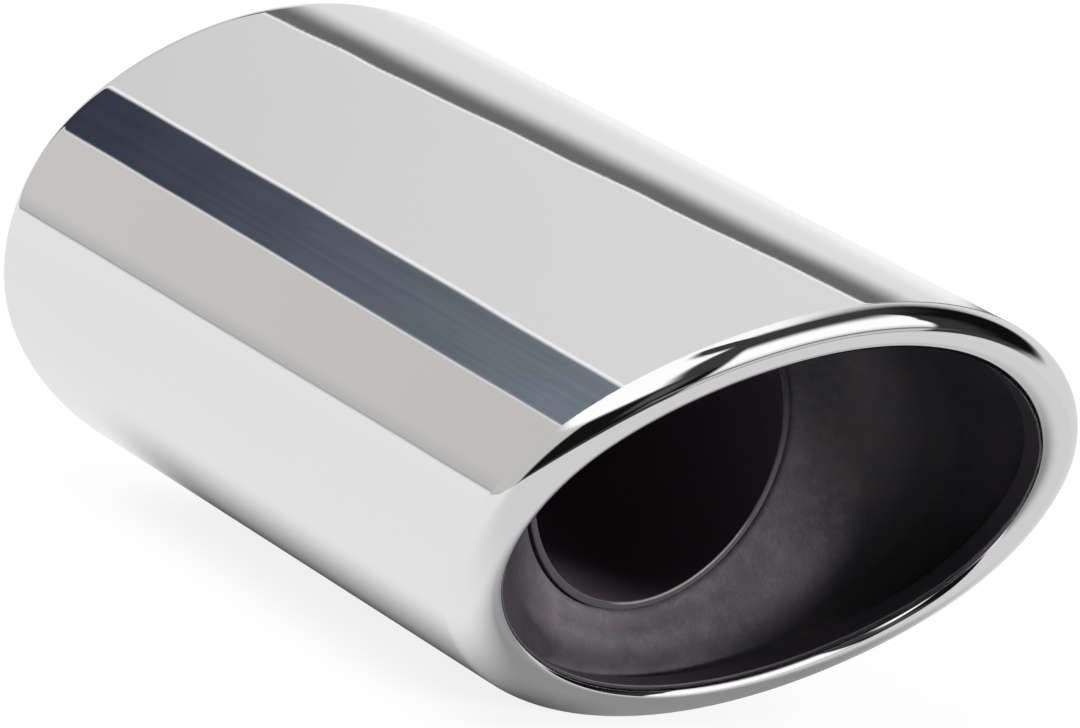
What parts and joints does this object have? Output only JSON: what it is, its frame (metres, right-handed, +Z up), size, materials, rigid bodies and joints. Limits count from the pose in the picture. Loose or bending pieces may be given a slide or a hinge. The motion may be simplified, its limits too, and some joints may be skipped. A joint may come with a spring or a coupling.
{
  "type": "exhaust tip",
  "caption": "Oval slip-on exhaust tip with a slanted mouth, rolled polished lip, dark dished baffle and a round inlet pipe with clamp bolts.",
  "frame": {"origin": "centre of the inlet pipe's rear end", "axes": "+Y along the inlet pipe to the rear, out of its open end; +Z up; the mouth faces -Y and its top leans forward"},
  "size_m": [0.13, 0.165, 0.093],
  "materials": {
    "polished_steel": "mirror-polished stainless steel",
    "heat_paint": "matt dark heat-resistant paint on pressed steel",
    "pipe_steel": "plain drawn steel tube, dull",
    "nut_steel": "bare steel, dull",
    "bolt_steel": "zinc-plated steel"
  },
  "bodies": {
    "root": {"outer_shell": "polished_steel", "inner_baffle": "heat_paint", "inlet_pipe": "pipe_steel", "weld_nut_left": "nut_steel", "weld_nut_right": "nut_steel", "clamp_bolt_left": "bolt_steel", "clamp_bolt_right": "bolt_steel"}
  },
  "joints": []
}
